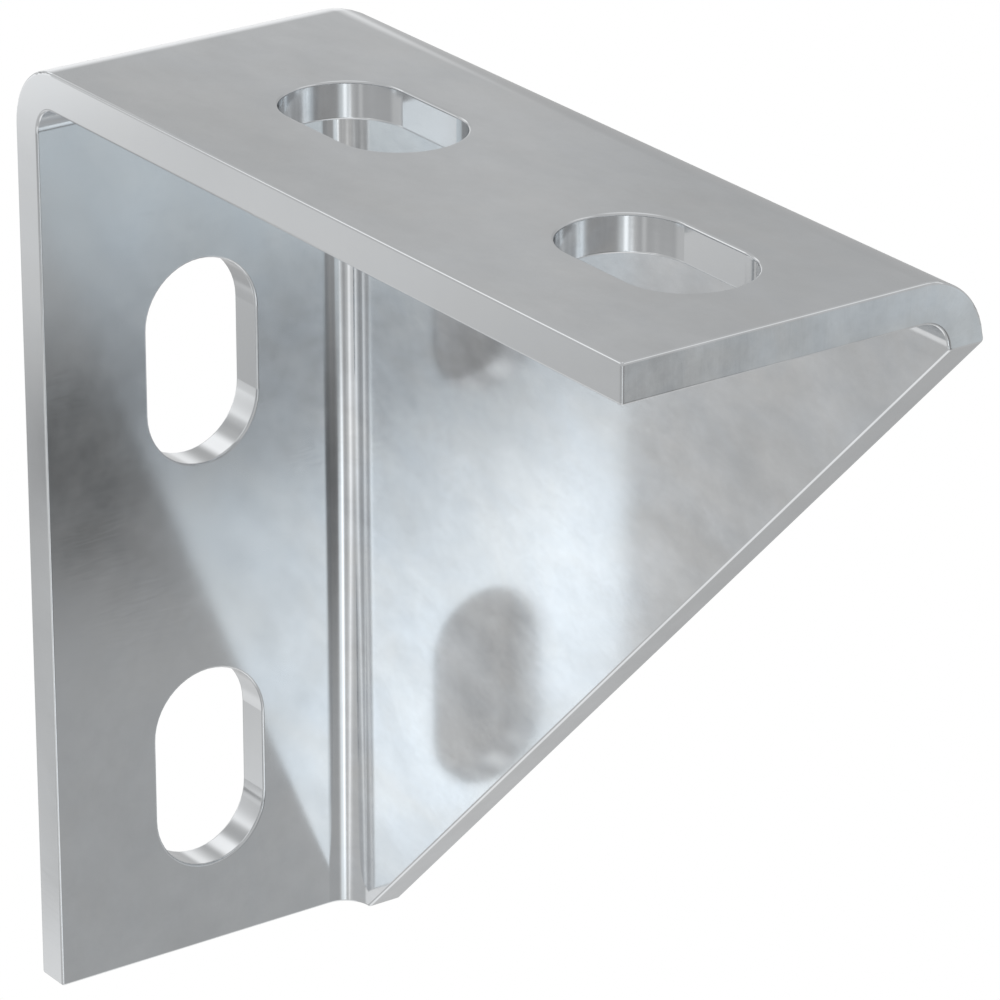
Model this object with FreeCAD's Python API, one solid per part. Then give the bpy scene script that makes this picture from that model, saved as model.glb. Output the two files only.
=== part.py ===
"""Angle bracket with a web, pressed from one blank of sheet steel.

A wall flange and a top flange stand at right angles and share one rounded fold. A triangular web
is folded to both of them along their back edges, so three folds meet in one ball-shaped corner
with the same wall all round. Two slots in each flange take the bolts: those in the wall flange
run upright, those in the top flange run out from the wall.

Frame: X runs out from the wall, Y from the open front of the flanges to the web, Z up.
The origin is on the wall side of the wall flange, at the middle of its slot pattern.
"""

import FreeCAD, Part
import os
from FreeCAD import Vector

# Sheet and folds, in millimetres
SHEET_THICKNESS = 4.0
FOLD_INNER_RADIUS = 3.0
CUT_EDGE_RADIUS = 0.3

# Flanges, measured over the outer faces
ARM_LENGTH = 100.0
DROP_HEIGHT = 100.0
FLANGE_WIDTH = 40.0

# Slots, the same in both flanges
SLOT_WIDTH = 13.0
SLOT_LENGTH = 22.0
SLOT_COUNT = 2
FIRST_SLOT_TO_CORNER = 35.0
LAST_SLOT_TO_END = 20.0
SLOT_TO_FRONT_EDGE = 18.5

FOLD_OUTER_RADIUS = FOLD_INNER_RADIUS + SHEET_THICKNESS
SLOT_LINE_Y = SLOT_TO_FRONT_EDGE - FLANGE_WIDTH
WALL_PATTERN_MIDDLE = (FIRST_SLOT_TO_CORNER + DROP_HEIGHT - LAST_SLOT_TO_END) / 2

# The solids are drawn from the sharp outer corner, where the wall, top and web faces would meet,
# and moved to the frame's origin at the end.
CORNER_TO_ORIGIN = Vector(0, -SLOT_LINE_Y, WALL_PATTERN_MIDDLE)

# How far a cutting tool runs past the sheet
OVERRUN = 5.0

# Lines this close to each other count as one
MATCH = 1e-6


def prism(points, depth):
    """A solid between the outline through the points and its copy moved by depth."""
    outline = Part.makePolygon(points + points[:1])
    return Part.Face(outline).extrude(depth)


def round_corner_folds(block, corner, radius):
    """The block with the three edges that meet at the corner rounded to one ball corner."""
    folds = [e for e in block.Edges if any(v.Point.isEqual(corner, MATCH) for v in e.Vertexes)]
    return block.makeFillet(radius, folds)


def outer_block():
    """Everything inside the outer faces: the side outline of the bracket, as wide as a flange."""
    side_outline = [
        Vector(0, -FLANGE_WIDTH, 0),
        Vector(ARM_LENGTH, -FLANGE_WIDTH, 0),
        Vector(ARM_LENGTH, -FLANGE_WIDTH, -FOLD_OUTER_RADIUS),
        Vector(FOLD_OUTER_RADIUS, -FLANGE_WIDTH, -DROP_HEIGHT),
        Vector(0, -FLANGE_WIDTH, -DROP_HEIGHT),
    ]
    block = prism(side_outline, Vector(0, FLANGE_WIDTH, 0))
    return round_corner_folds(block, Vector(0, 0, 0), FOLD_OUTER_RADIUS)


def inner_block():
    """The space between the flanges and the web, which runs out past the open sides."""
    length = ARM_LENGTH - SHEET_THICKNESS + OVERRUN
    width = FLANGE_WIDTH - SHEET_THICKNESS + OVERRUN
    height = DROP_HEIGHT - SHEET_THICKNESS + OVERRUN
    corner = Vector(SHEET_THICKNESS, -SHEET_THICKNESS, -SHEET_THICKNESS)
    block = Part.makeBox(length, width, height, corner - Vector(0, width, height))
    return round_corner_folds(block, corner, FOLD_INNER_RADIUS)


def slot_cutter(centre, along, through):
    """A slot tool with round ends: centre on the outer face, through pointing into the sheet."""
    radius = SLOT_WIDTH / 2
    half_straight = (SLOT_LENGTH - SLOT_WIDTH) / 2
    across = along.cross(through)
    far, near = centre + along * half_straight, centre - along * half_straight
    outline = Part.Wire([
        Part.makeLine(near + across * radius, far + across * radius),
        Part.Arc(far + across * radius, far + along * radius, far - across * radius).toShape(),
        Part.makeLine(far - across * radius, near - across * radius),
        Part.Arc(near - across * radius, near - along * radius, near + across * radius).toShape(),
    ])
    outline.translate(through * -OVERRUN)
    return Part.Face(outline).extrude(through * (SHEET_THICKNESS + 2 * OVERRUN))


def slot_row(flange_length, along, through):
    """The slot tools of one flange, evenly spaced from the first slot to the last."""
    pitch = (flange_length - LAST_SLOT_TO_END - FIRST_SLOT_TO_CORNER) / (SLOT_COUNT - 1)
    line = Vector(0, SLOT_LINE_Y, 0)
    reaches = [FIRST_SLOT_TO_CORNER + i * pitch for i in range(SLOT_COUNT)]
    return [slot_cutter(line + along * reach, along, through) for reach in reaches]


def is_sharp(shape, edge):
    """True where the two faces beside the edge meet at an angle and not in a smooth line."""
    faces = shape.ancestorsOfType(edge, Part.Face)
    if len(faces) != 2:
        return False
    point = edge.valueAt((edge.FirstParameter + edge.LastParameter) / 2)
    first, second = (f.normalAt(*f.Surface.parameter(point)) for f in faces)
    return first.getAngle(second) > 0.1


def break_cut_edges(shape):
    """The shape with every sharp edge of the cut sheet rounded a little."""
    sharp = [e for e in shape.Edges if is_sharp(shape, e)]
    return shape.makeFillet(CUT_EDGE_RADIUS, sharp)


def angle_bracket():
    """The whole bracket, in its own frame."""
    out, down = Vector(1, 0, 0), Vector(0, 0, -1)
    bracket = outer_block().cut(inner_block())
    bracket = bracket.cut(slot_row(ARM_LENGTH, out, down) + slot_row(DROP_HEIGHT, down, out))
    bracket = break_cut_edges(bracket.removeSplitter())
    bracket.translate(CORNER_TO_ORIGIN)
    return bracket


os.makedirs("parts", exist_ok=True)
angle_bracket().exportStep("parts/angle_bracket.step")
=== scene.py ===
"""Looks of the angle bracket: bright zinc-plated sheet steel under soft studio light."""

import math

import bmesh
import bpy
from mathutils import Matrix, Vector


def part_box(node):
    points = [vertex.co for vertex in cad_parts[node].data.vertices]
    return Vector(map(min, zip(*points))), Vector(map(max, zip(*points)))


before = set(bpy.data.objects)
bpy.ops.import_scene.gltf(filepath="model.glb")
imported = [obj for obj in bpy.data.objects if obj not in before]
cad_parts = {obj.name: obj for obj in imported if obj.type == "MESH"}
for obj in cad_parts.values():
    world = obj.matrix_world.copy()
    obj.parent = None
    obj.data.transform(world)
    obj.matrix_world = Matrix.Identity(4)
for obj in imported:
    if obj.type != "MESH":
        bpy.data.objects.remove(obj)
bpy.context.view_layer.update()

# Size of the folds in metres, as on the solid
SHEET = 0.004
FOLD_INNER = 0.003
FOLD_OUTER = FOLD_INNER + SHEET

# A face counts as part of the sheet's own surface within this angle in degrees, the rest are cut edges
SHEET_TOLERANCE = 10.0

# The camera: degrees round the object and above it, metres, and a long lens in sensor widths
CAMERA_PLACE = Vector((0.49402, -0.30955, 0.25097))
CAMERA_AZIMUTH = 54.76
CAMERA_ELEVATION = 22.82
SENSOR = 36.0
FOCAL_SHARE = 6.188
NEAREST_SEEN = 0.01

# How far the floor lies below the bracket, and how far it runs out, in metres
FLOOR_DROP = 0.25
FLOOR_HALF = 4.0

# The light tent, in metres, and how finely its ball is divided
TENT_MIDDLE = Vector((0.040, 0.0, 0.0))
TENT_RADIUS = 0.35
TENT_SEGMENTS = 96
TENT_RINGS = 48

# The tent's even grey behind all lights, at its bottom and at its top
GREY_BELOW = 0.52
GREY_ABOVE = 0.54

WHITE = (1.0, 1.0, 1.0, 1.0)

# Colours of the plating, as reflected: the darkest and the brightest of its clouds
ZINC_DARK = (0.684, 0.70, 0.714, 1.0)
ZINC_BRIGHT = (0.880, 0.90, 0.918, 1.0)

# How fine the plating's patterns are, in cells per metre
CLOUD_SCALE = 190.0
PATCH_SCALE = 60.0
GRAIN_SCALE = 620.0
COAT_SCALE = 110.0
CUT_MARK_SCALE = 1300.0
RIPPLE_SCALE = (260.0, 260.0, 1500.0)

# Where in the noise the clouds and patches are taken from, in metres
CLOUD_SHIFT = (0.021, 0.0, 0.013)
PATCH_SHIFT = (0.7, 0.3, 0.1)

# Clouds and grain are drawn out along a direction where its factor is below 1
CLOUD_STRETCH = (0.6, 1.0, 1.0)
GRAIN_STRETCH = (1.2, 1.0, 0.9)

# How far the cutting marks are drawn out through the sheet: 0 not at all, 1 without end
CUT_MARK_RUN = 0.88

# How strongly each pattern moves the tone from the middle of the two colours
MIDDLE_TONE = 0.5
CLOUD_STRENGTH = 0.36
PATCH_STRENGTH = 0.13
GRAIN_STRENGTH = 0.13
CUT_MARK_TONE = (-0.07, 0.11)

# The clouds' strength off the web and on cut edges, the web's own being 1, and more on the rough cut
FLANGE_SHARE = 0.4
CUT_SHARE = 0.2
ROUGH_CUT_STRENGTH = 1.2

# How red and how blue the clear coat is in its cooler and its warmer patches
COAT_RED = (0.988, 1.012)
COAT_BLUE = (1.014, 0.986)

# Roughness of the plating, and what the rough cut adds to it
POLISH = (0.11, 0.14)
ROUGH_CUT_ADDS = (0.01, 0.05)

# The bump: how strong it is, how deep in metres, and the shares of ripples and cutting marks in it
BUMP_STRENGTH = 0.19
BUMP_DEPTH = 0.00002
RIPPLE_SHARE = 0.5
CUT_MARK_SHARE = 0.6

# The noise node's values lie round 0.5, most of them in this range
NOISE_SPAN = (0.3, 0.7)

# Sockets of the colour Mix node, which share their names with those of its other kinds
MIX_FIRST = 6
MIX_SECOND = 7
MIX_RESULT = 2


def add(tree, kind, inputs=None, **settings):
    """A new node in the tree: inputs by socket name or number, each a value or another socket."""
    node = tree.nodes.new(kind)
    for name, value in settings.items():
        setattr(node, name, value)
    for key, value in (inputs or {}).items():
        if isinstance(value, bpy.types.NodeSocket):
            tree.links.new(value, node.inputs[key])
        else:
            node.inputs[key].default_value = value
    return node


def maths(tree, operation, *values):
    """The result of a Math node over values or sockets."""
    return add(tree, "ShaderNodeMath", dict(enumerate(values)), operation=operation).outputs[0]


def vectors(tree, operation, *values):
    """The result of a Vector Math node over values or sockets."""
    node = add(tree, "ShaderNodeVectorMath", dict(enumerate(values)), operation=operation)
    return node.outputs["Value" if operation == "DOT_PRODUCT" else "Vector"]


def scaled(tree, vector, factor):
    """A vector times a number, either of them a socket."""
    return add(tree, "ShaderNodeVectorMath", {0: vector, "Scale": factor}, operation="SCALE").outputs[0]


def ramp(tree, value, span, to, smooth=False):
    """The value moved from one span to another and kept inside it."""
    inputs = {"Value": value, "From Min": span[0], "From Max": span[1], "To Min": to[0], "To Max": to[1]}
    kind = "SMOOTHSTEP" if smooth else "LINEAR"
    return add(tree, "ShaderNodeMapRange", inputs, interpolation_type=kind).outputs[0]


def noise(tree, vector, scale, detail, roughness, distortion):
    """A noise pattern over the vector."""
    inputs = {
        "Vector": vector,
        "Scale": scale,
        "Detail": detail,
        "Roughness": roughness,
        "Distortion": distortion,
    }
    return add(tree, "ShaderNodeTexNoise", inputs).outputs["Fac"]


def spread(tree, pattern, to):
    """A noise pattern moved from its usual span to another."""
    return ramp(tree, pattern, NOISE_SPAN, to)


def parts(tree, vector):
    """The three parts of a vector."""
    return add(tree, "ShaderNodeSeparateXYZ", {0: vector}).outputs


def mixed(tree, factor, first, second, blend="MIX"):
    """Two colours mixed by a factor, each of the three a value or a socket."""
    inputs = {"Factor": factor, MIX_FIRST: first, MIX_SECOND: second}
    return add(tree, "ShaderNodeMix", inputs, data_type="RGBA", blend_type=blend).outputs[MIX_RESULT]


def new_material(name):
    """A material with an empty node tree."""
    material = bpy.data.materials.new(name)
    material.use_nodes = True
    material.node_tree.nodes.clear()
    return material


def add_camera():
    """The photograph's view: a long lens, from the front right and a little above."""
    data = bpy.data.cameras.new("camera")
    data.sensor_width = SENSOR
    data.lens = SENSOR * FOCAL_SHARE
    data.clip_start = NEAREST_SEEN
    camera = bpy.data.objects.new("camera", data)
    azimuth, elevation = math.radians(CAMERA_AZIMUTH), math.radians(CAMERA_ELEVATION)
    back = Vector((
        math.sin(azimuth) * math.cos(elevation),
        -math.cos(azimuth) * math.cos(elevation),
        math.sin(elevation),
    ))
    turn = back.to_track_quat("Z", "Y").to_matrix().to_4x4()
    camera.matrix_world = Matrix.Translation(CAMERA_PLACE) @ turn
    bpy.context.scene.collection.objects.link(camera)
    bpy.context.scene.camera = camera


def smooth_sheet(node, core):
    """Gives the sheet's own faces their exact normals, so that reflections run evenly over the folds.

    Every point of the sheet lies straight above or below the nearest point of a core octant, whose
    corner is the common centre of the three folds. Cut edges keep the normals that they have.
    The direction through the sheet and the cut faces are stored for the material.
    """
    tree = bpy.data.node_groups.new("smooth_sheet", "GeometryNodeTree")
    tree.interface.new_socket("Geometry", in_out="INPUT", socket_type="NodeSocketGeometry")
    tree.interface.new_socket("Geometry", in_out="OUTPUT", socket_type="NodeSocketGeometry")
    source = add(tree, "NodeGroupInput")
    place = add(tree, "GeometryNodeInputPosition").outputs[0]
    normal = add(tree, "GeometryNodeInputNormal").outputs[0]
    split = parts(tree, place)
    nearest = add(tree, "ShaderNodeCombineXYZ", {
        0: maths(tree, "MAXIMUM", split[0], core[0]),
        1: maths(tree, "MINIMUM", split[1], core[1]),
        2: maths(tree, "MINIMUM", split[2], core[2]),
    }).outputs[0]
    through = vectors(tree, "NORMALIZE", vectors(tree, "SUBTRACT", place, nearest))
    agreement = vectors(tree, "DOT_PRODUCT", through, normal)
    exact = scaled(tree, through, maths(tree, "SIGN", agreement))
    least_agreement = math.cos(math.radians(SHEET_TOLERANCE))
    on_sheet = maths(tree, "GREATER_THAN", maths(tree, "ABSOLUTE", agreement), least_agreement)
    choose = add(tree, "GeometryNodeSwitch", input_type="VECTOR")
    tree.links.new(on_sheet, choose.inputs["Switch"])
    tree.links.new(normal, choose.inputs["False"])
    tree.links.new(exact, choose.inputs["True"])
    setter = add(tree, "GeometryNodeSetMeshNormal", mode="FREE", domain="CORNER")
    tree.links.new(source.outputs[0], setter.inputs["Mesh"])
    tree.links.new(choose.outputs[0], setter.inputs["Custom Normal"])

    def store(geometry, name, kind, value):
        attribute = add(tree, "GeometryNodeStoreNamedAttribute", data_type=kind, domain="CORNER")
        attribute.inputs["Name"].default_value = name
        tree.links.new(geometry, attribute.inputs["Geometry"])
        tree.links.new(value, attribute.inputs["Value"])
        return attribute.outputs[0]

    kept = store(setter.outputs[0], "through", "FLOAT_VECTOR", through)
    kept = store(kept, "cut", "FLOAT", maths(tree, "SUBTRACT", 1.0, on_sheet))
    target = add(tree, "NodeGroupOutput")
    tree.links.new(kept, target.inputs[0])
    node.modifiers.new("smooth_sheet", "NODES").node_group = tree


def rough_end(tree, cut):
    """Where the cut is rough: fully on the end of the arm, a little on the other cut faces."""
    normal = parts(tree, add(tree, "ShaderNodeTexCoord").outputs["Normal"])
    return maths(tree, "MULTIPLY", cut, ramp(tree, normal[0], (0.8, 0.98), (0.1, 1.0)))


def cloud_strength(tree, through, cut, rough_cut):
    """How strongly the clouds show: most on the web and on the rough end."""
    facing = parts(tree, vectors(tree, "ABSOLUTE", through))
    on_web = ramp(tree, facing[1], (0.2, 0.9), (FLANGE_SHARE, 1.0))
    strength = maths(tree, "MULTIPLY", on_web, ramp(tree, cut, (0.0, 1.0), (1.0, CUT_SHARE)))
    return maths(tree, "ADD", strength, maths(tree, "MULTIPLY", rough_cut, ROUGH_CUT_STRENGTH))


def fine_grain(tree, along, patches):
    """A finer grain of the plating, inside some of the patches."""
    fine = vectors(tree, "MULTIPLY", along, GRAIN_STRETCH)
    grain = noise(tree, fine, GRAIN_SCALE, detail=3.0, roughness=0.6, distortion=0.3)
    grain = spread(tree, grain, (-GRAIN_STRENGTH, GRAIN_STRENGTH))
    return maths(tree, "MULTIPLY", grain, ramp(tree, patches, (0.45, 0.6), (0.1, 1.0)))


def sheet_ripples(tree, place, patches):
    """Short faint ripples of the rolled sheet, inside some of the patches."""
    level = vectors(tree, "MULTIPLY", place, RIPPLE_SCALE)
    rolled = noise(tree, level, 1.0, detail=1.0, roughness=0.5, distortion=0.6)
    return maths(tree, "MULTIPLY", rolled, ramp(tree, patches, (0.5, 0.62), (0.0, 1.0)))


def cutting_marks(tree, place, through):
    """Marks of the cutting, which run through the sheet."""
    depth = maths(tree, "MULTIPLY", vectors(tree, "DOT_PRODUCT", place, through), CUT_MARK_RUN)
    flattened = vectors(tree, "SUBTRACT", place, scaled(tree, through, depth))
    return noise(tree, flattened, CUT_MARK_SCALE, detail=3.0, roughness=0.65, distortion=0.4)


def clear_coat(tree, along, strength):
    """The tint of the clear coat over the zinc, in warmer and cooler patches."""
    coat = noise(tree, along, COAT_SCALE, detail=4.0, roughness=0.6, distortion=0.5)
    warmth = maths(tree, "MULTIPLY", ramp(tree, coat, (0.35, 0.65), (-1.0, 1.0)), strength)
    return add(tree, "ShaderNodeCombineColor", {
        0: ramp(tree, warmth, (-1.0, 1.0), COAT_RED),
        1: 1.0,
        2: ramp(tree, warmth, (-1.0, 1.0), COAT_BLUE),
    }).outputs[0]


def zinc_plated_steel():
    """Bright zinc plating on rolled sheet: a soft mirror with faint clouds, ripples and cut marks."""
    material = new_material("zinc_plated_steel")
    tree = material.node_tree
    place = add(tree, "ShaderNodeTexCoord").outputs["Object"]
    through = add(tree, "ShaderNodeAttribute", attribute_name="through").outputs["Vector"]
    cut = add(tree, "ShaderNodeAttribute", attribute_name="cut").outputs["Fac"]
    rough_cut = rough_end(tree, cut)
    strength = cloud_strength(tree, through, cut, rough_cut)

    # Clouds of the plating, a little longer along the arm, and larger patches
    along = vectors(tree, "MULTIPLY", vectors(tree, "ADD", place, CLOUD_SHIFT), CLOUD_STRETCH)
    clouds = noise(tree, along, CLOUD_SCALE, detail=5.0, roughness=0.6, distortion=0.1)
    elsewhere = vectors(tree, "ADD", place, PATCH_SHIFT)
    patches = noise(tree, elsewhere, PATCH_SCALE, detail=3.0, roughness=0.5, distortion=0.3)
    marks = cutting_marks(tree, place, through)

    # The tone: from the middle of the two colours, moved by the patterns, under the clear coat
    clouded = spread(tree, clouds, (-CLOUD_STRENGTH, CLOUD_STRENGTH))
    clouded = maths(tree, "ADD", clouded, spread(tree, patches, (-PATCH_STRENGTH, PATCH_STRENGTH)))
    clouded = maths(tree, "ADD", clouded, fine_grain(tree, along, patches))
    marked = maths(tree, "MULTIPLY", rough_cut, spread(tree, marks, CUT_MARK_TONE))
    moved = maths(tree, "ADD", maths(tree, "MULTIPLY", clouded, strength), marked)
    colour = mixed(tree, maths(tree, "ADD", MIDDLE_TONE, moved), ZINC_DARK, ZINC_BRIGHT)
    colour = mixed(tree, 1.0, colour, clear_coat(tree, along, strength), "MULTIPLY")

    # The polish, duller on the rough cut
    dulled = maths(tree, "MULTIPLY", rough_cut, spread(tree, marks, ROUGH_CUT_ADDS))
    polish = maths(tree, "ADD", spread(tree, clouds, POLISH), dulled)

    # The bump: ripples, large soft waves and the marks of the rough cut
    ripples = sheet_ripples(tree, place, patches)
    height = maths(tree, "ADD", maths(tree, "MULTIPLY", ripples, RIPPLE_SHARE), patches)
    rough_marks = maths(tree, "MULTIPLY", marks, rough_cut)
    height = maths(tree, "ADD", height, maths(tree, "MULTIPLY", rough_marks, CUT_MARK_SHARE))
    bump = add(tree, "ShaderNodeBump", {"Strength": BUMP_STRENGTH, "Distance": BUMP_DEPTH, "Height": height})

    shader = add(tree, "ShaderNodeBsdfPrincipled", {
        "Base Color": colour,
        "Metallic": 1.0,
        "Roughness": polish,
        "Normal": bump.outputs[0],
    })
    add(tree, "ShaderNodeOutputMaterial", {"Surface": shader.outputs[0]})
    return material


def soft_window():
    """A node group that paints one soft-edged light over what lies behind it, all angles in degrees."""
    tree = bpy.data.node_groups.new("soft_window", "ShaderNodeTree")
    angles = (
        "azimuth", "elevation", "centre azimuth", "centre elevation",
        "half width", "half height", "soft width", "soft height", "slant",
    )
    tree.interface.new_socket("behind", in_out="INPUT", socket_type="NodeSocketColor")
    tree.interface.new_socket("light", in_out="INPUT", socket_type="NodeSocketColor")
    for name in angles:
        tree.interface.new_socket(name, in_out="INPUT", socket_type="NodeSocketFloat")
    tree.interface.new_socket("colour", in_out="OUTPUT", socket_type="NodeSocketColor")
    given = add(tree, "NodeGroupInput").outputs
    up = maths(tree, "SUBTRACT", given["elevation"], given["centre elevation"])
    side = maths(tree, "SUBTRACT", given["azimuth"], given["centre azimuth"])
    side = maths(tree, "SUBTRACT", side, maths(tree, "MULTIPLY", up, given["slant"]))
    side = maths(tree, "ABSOLUTE", maths(tree, "WRAP", side, 180.0, -180.0))
    up = maths(tree, "ABSOLUTE", up)

    def cover(offset, half, soft):
        outside = maths(tree, "ADD", half, soft)
        inside = maths(tree, "SUBTRACT", half, soft)
        return ramp(tree, offset, (outside, inside), (0.0, 1.0), smooth=True)

    across = cover(side, given["half width"], given["soft width"])
    along = cover(up, given["half height"], given["soft height"])
    painted = mixed(tree, maths(tree, "MULTIPLY", across, along), given["behind"], given["light"])
    target = add(tree, "NodeGroupOutput")
    tree.links.new(painted, target.inputs[0])
    return tree


def grey(level, cool=0.0):
    """A light's colour: its level, and how far it leans from grey to cyan."""
    return (level * (1.0 - cool), level, level * (1.0 + 0.6 * cool), 1.0)


def lights_above_and_below(paint):
    """A bright floor and soft lights overhead, which the rounded rims catch."""
    # The floor straight below, and further out behind the web for the rim of its sloping edge
    paint(grey(0.95), at=(0, -90), half=(185, 24), soft=(2, 3))
    paint(grey(0.89), at=(330, -68), half=(38, 17.5), soft=(5, 2))
    # Overhead for the rims of the top slots, and past the end of the arm for the rims there
    paint(grey(0.80), at=(0, 90), half=(185, 18), soft=(2, 4))
    paint(grey(0.85), at=(42, 47), half=(22, 8), soft=(8, 4))


def lights_behind(paint):
    """Behind the bracket, for the top face and the fold at the back."""
    # The bright line of the back fold, and the grey of the top face towards the arm's end
    paint(grey(0.97), at=(290, 5), half=(15, 15), soft=(2, 8), slant=0.2)
    paint(grey(0.45), at=(330, 15), half=(20, 20), soft=(3, 8))
    # The grey of the top face towards the wall
    paint(grey(0.47), at=(291, 35.5), half=(12, 9.5), soft=(6, 4))


def lights_beside_the_front(paint):
    """Beside the open front, for the front edges, the lower ends of the wall slots and the web."""
    # The front edge round the corner, and a darker band in the lower ends of the wall slots
    paint(grey(1.00), at=(248, 4.4), half=(12, 14.2), soft=(3, 3))
    paint(grey(0.45), at=(249, 26), half=(8, 3.5), soft=(5, 3))
    # Glints in the lower ends of the wall slots, and along the rim of the top flange's front edge
    paint(grey(1.15), at=(271, 34.5), half=(12, 5), soft=(6, 4))
    paint(grey(1.10), at=(231, 38), half=(8, 15), soft=(5, 5))
    # The front edge of the top flange, and the upper part of the wall flange's front edge
    paint(grey(0.69), at=(238, -12), half=(10, 2.8), soft=(6, 1.5))
    paint(grey(0.49), at=(243, -18.5), half=(9, 4), soft=(5, 2.5))
    # The web's light border, where it stops mirroring the wall flange
    paint(grey(0.95), at=(236.4, -22), half=(1.2, 4.5), soft=(1.2, 2))
    # The dark mirror image of the upper wall slot, and the lighter front edge beside it
    paint(grey(0.17), at=(238, -17), half=(1.8, 1.6), soft=(0.6, 0.6))
    paint(grey(0.56), at=(241.2, -17), half=(1, 2), soft=(0.6, 1))
    # The upper ends of the wall slots, the upper slot first
    paint(grey(0.42), at=(268, -28), half=(18, 5), soft=(5, 3))
    paint(grey(0.66), at=(268, -38), half=(18, 4.5), soft=(5, 3))
    # The right side of the lower slot's mirror image in the web
    paint(grey(0.74), at=(301, -26.5), half=(5, 4), soft=(4, 2))
    # The sloping cut edge of the web
    paint(grey(0.45), at=(335, -42), half=(12, 4.5), soft=(5, 3))
    # The lower part of the wall flange's front edge
    paint(grey(0.82), at=(240, -33.5), half=(15, 7), soft=(4, 4))
    # The dark mirror image of the lower wall slot, and the lighter front edge beside it
    paint(grey(0.38), at=(238.3, -26), half=(1.5, 2.4), soft=(0.5, 0.8))
    paint(grey(0.75), at=(240.8, -27), half=(0.8, 2.5), soft=(0.5, 1))


def lights_past_the_end(paint):
    """Past the end of the arm, for the wall flange and the dark side of the upright fold."""
    # The grey that most of the wall flange reflects, and a lighter, cooler one for the arm's end
    paint(grey(0.40, 0.01), at=(81, -20), half=(28, 25), soft=(6, 10), slant=0.35)
    paint(grey(0.60, 0.06), at=(44, -3), half=(11, 16), soft=(5, 5), slant=-0.3)
    # Darker walls of the top slots, from this side and round to the open front
    paint(grey(0.31), at=(87, -9), half=(23, 5.5), soft=(3, 2.5))
    paint(grey(0.40), at=(174, -10), half=(36, 5.5), soft=(6, 2.5))
    # The dark band across the wall flange, and the dark along both sides of the fold's upper part
    paint(grey(0.09), at=(64, -22.4), half=(9, 3.2), soft=(2, 2))
    paint(grey(0.12), at=(97, -23.5), half=(27, 4), soft=(4, 4), slant=1.5)
    # The grey between the lines of the upright fold, and a lighter spot in the top slots' walls
    paint(grey(0.38), at=(148, -18), half=(6, 6), soft=(3, 4))
    paint(grey(0.60), at=(150, -10), half=(3, 4), soft=(3, 2))


def lights_below_the_camera(paint):
    """Soft lights below the camera, for the web, its mirror image in the wall flange and the fold."""
    # The cool light at the top of the wall flange, and the one at the top of the web
    paint(grey(0.75, 0.07), at=(120, -15), half=(9, 4), soft=(3, 2.5), slant=0.5)
    paint(grey(0.85, 0.04), at=(131, -18.5), half=(2, 3), soft=(5, 2))
    # Glints in the top slots' walls, and the bright web seen through the slot nearer the wall
    paint(grey(1.50, 0.03), at=(122.5, -10.5), half=(3.2, 2), soft=(1.5, 1.2))
    paint(grey(1.50, 0.03), at=(131, -14), half=(2, 2.5), soft=(1.5, 1.5))
    # The light on the wall flange's lower triangle, and the brighter one on the middle of the web
    paint(grey(0.97, 0.045), at=(120, -30.5), half=(7.5, 7), soft=(5, 3), slant=0.6)
    paint(grey(1.62, 0.035), at=(130.5, -29), half=(4.5, 7), soft=(4, 3), slant=0.6)
    # The bright lines of the upright fold: a wide glow, one high up and a narrow one lower down
    paint(grey(0.70), at=(168, -25), half=(9, 10), soft=(6, 2), slant=2.2)
    paint(grey(1.10), at=(171, -20), half=(5, 5), soft=(6, 2))
    paint(grey(1.50), at=(157, -30), half=(2, 6), soft=(3, 2), slant=2.2)


def tent_light():
    """The inside of the tent: soft lights and grey cards over an even grey.

    Each is placed by its azimuth, clockwise from the web side as seen from above, and elevation,
    both from the middle of the tent. The order matters: a later one covers those painted before it.
    """
    material = new_material("tent_light")
    material.cycles.emission_sampling = "NONE"
    tree = material.node_tree
    place = add(tree, "ShaderNodeTexCoord").outputs["Object"]
    split = parts(tree, vectors(tree, "NORMALIZE", place))
    azimuth = maths(tree, "DEGREES", maths(tree, "ARCTAN2", split[0], split[1]))
    elevation = maths(tree, "DEGREES", maths(tree, "ARCSINE", split[2]))
    group = soft_window()
    gradient = ramp(tree, elevation, (-90.0, 90.0), (GREY_BELOW, GREY_ABOVE))
    colour = add(tree, "ShaderNodeCombineColor", {0: gradient, 1: gradient, 2: gradient}).outputs[0]

    def paint(light, at, half, soft, slant=0.0):
        """One light or card over all before it: its middle, half its size and its soft edge's half."""
        nonlocal colour
        colour = add(tree, "ShaderNodeGroup", {
            "behind": colour,
            "light": light,
            "azimuth": azimuth,
            "elevation": elevation,
            "centre azimuth": float(at[0]),
            "centre elevation": float(at[1]),
            "half width": float(half[0]),
            "half height": float(half[1]),
            "soft width": float(soft[0]),
            "soft height": float(soft[1]),
            "slant": float(slant),
        }, node_tree=group).outputs[0]

    lights_above_and_below(paint)
    lights_behind(paint)
    lights_beside_the_front(paint)
    lights_past_the_end(paint)
    lights_below_the_camera(paint)

    light = add(tree, "ShaderNodeEmission", {"Color": colour})
    add(tree, "ShaderNodeOutputMaterial", {"Surface": light.outputs[0]})
    return material


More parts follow.
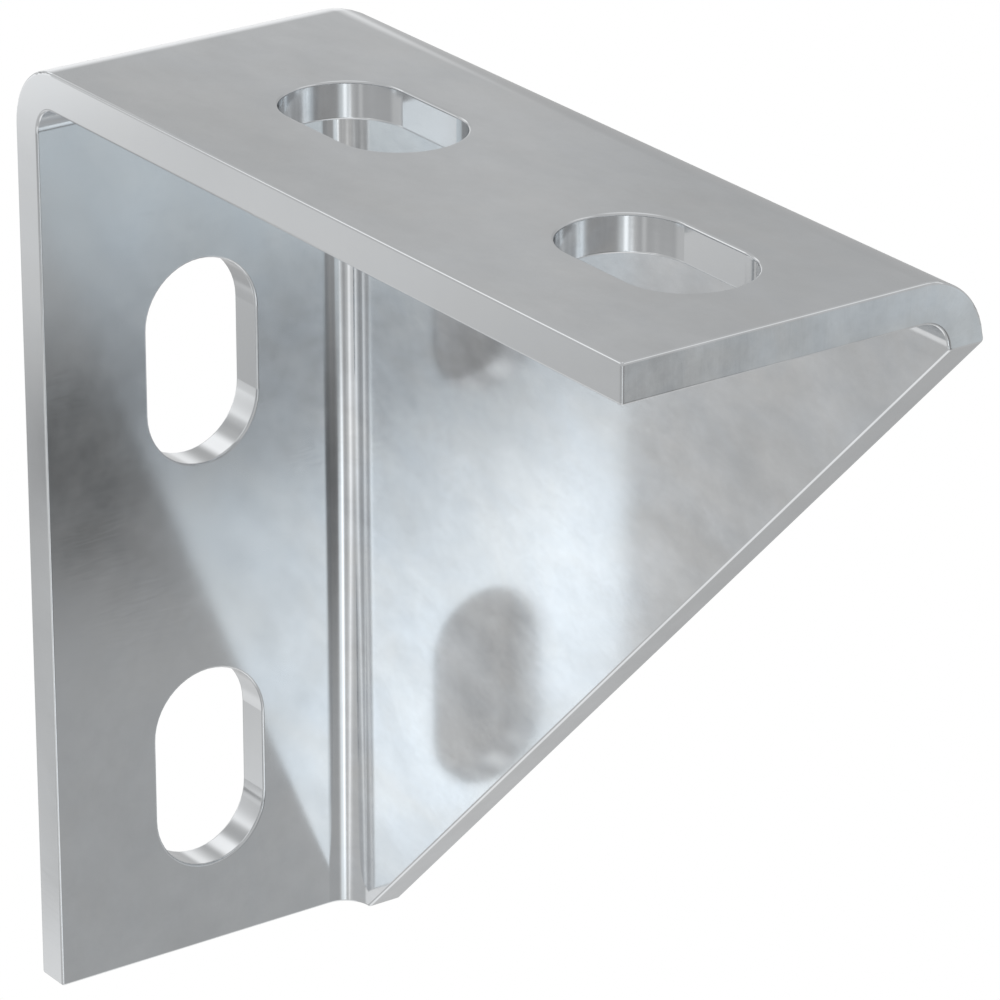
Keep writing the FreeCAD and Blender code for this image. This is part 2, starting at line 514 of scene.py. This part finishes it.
def add_tent(middle):
    """A ball of soft light round the bracket, which shows only in what the bracket reflects."""
    mesh = bpy.data.meshes.new("light_tent")
    shape = bmesh.new()
    bmesh.ops.create_uvsphere(shape, u_segments=TENT_SEGMENTS, v_segments=TENT_RINGS, radius=TENT_RADIUS)
    shape.to_mesh(mesh)
    shape.free()
    tent = bpy.data.objects.new("light_tent", mesh)
    tent.location = middle
    bpy.context.scene.collection.objects.link(tent)
    mesh.materials.append(tent_light())
    tent.visible_camera = False
    tent.visible_diffuse = False
    tent.visible_shadow = False


def white_studio():
    """White wherever the camera looks past the bracket."""
    world = bpy.data.worlds.new("studio")
    world.use_nodes = True
    world.cycles.sampling_method = "NONE"
    tree = world.node_tree
    tree.nodes.clear()
    white = add(tree, "ShaderNodeBackground", {"Color": WHITE})
    add(tree, "ShaderNodeOutputWorld", {0: white.outputs[0]})
    bpy.context.scene.world = world
    bpy.context.scene.view_settings.view_transform = "Standard"


def add_floor(height):
    """A plain white floor well below the bracket, which hangs over it; open when seen from below."""
    mesh = bpy.data.meshes.new("floor")
    corners = [(x * FLOOR_HALF, y * FLOOR_HALF, height) for x, y in ((-1, -1), (1, -1), (1, 1), (-1, 1))]
    mesh.from_pydata(corners, [], [(0, 1, 2, 3)])
    floor = bpy.data.objects.new("floor", mesh)
    bpy.context.scene.collection.objects.link(floor)
    material = new_material("floor_white")
    tree = material.node_tree
    white = add(tree, "ShaderNodeEmission", {"Color": WHITE})
    clear = add(tree, "ShaderNodeBsdfTransparent")
    below = add(tree, "ShaderNodeNewGeometry").outputs["Backfacing"]
    mix = add(tree, "ShaderNodeMixShader", {0: below, 1: white.outputs[0], 2: clear.outputs[0]})
    add(tree, "ShaderNodeOutputMaterial", {"Surface": mix.outputs[0]})
    mesh.materials.append(material)
    floor.visible_glossy = False
    floor.visible_diffuse = False
    floor.visible_shadow = False


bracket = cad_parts["angle_bracket"]
low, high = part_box("angle_bracket")
add_camera()
white_studio()
add_tent(TENT_MIDDLE)
add_floor(low[2] - FLOOR_DROP)
fold_centre = Vector((low[0] + FOLD_OUTER, high[1] - FOLD_OUTER, high[2] - FOLD_OUTER))
smooth_sheet(bracket, fold_centre)
plating = zinc_plated_steel()
for slot in bracket.material_slots:
    slot.material = plating
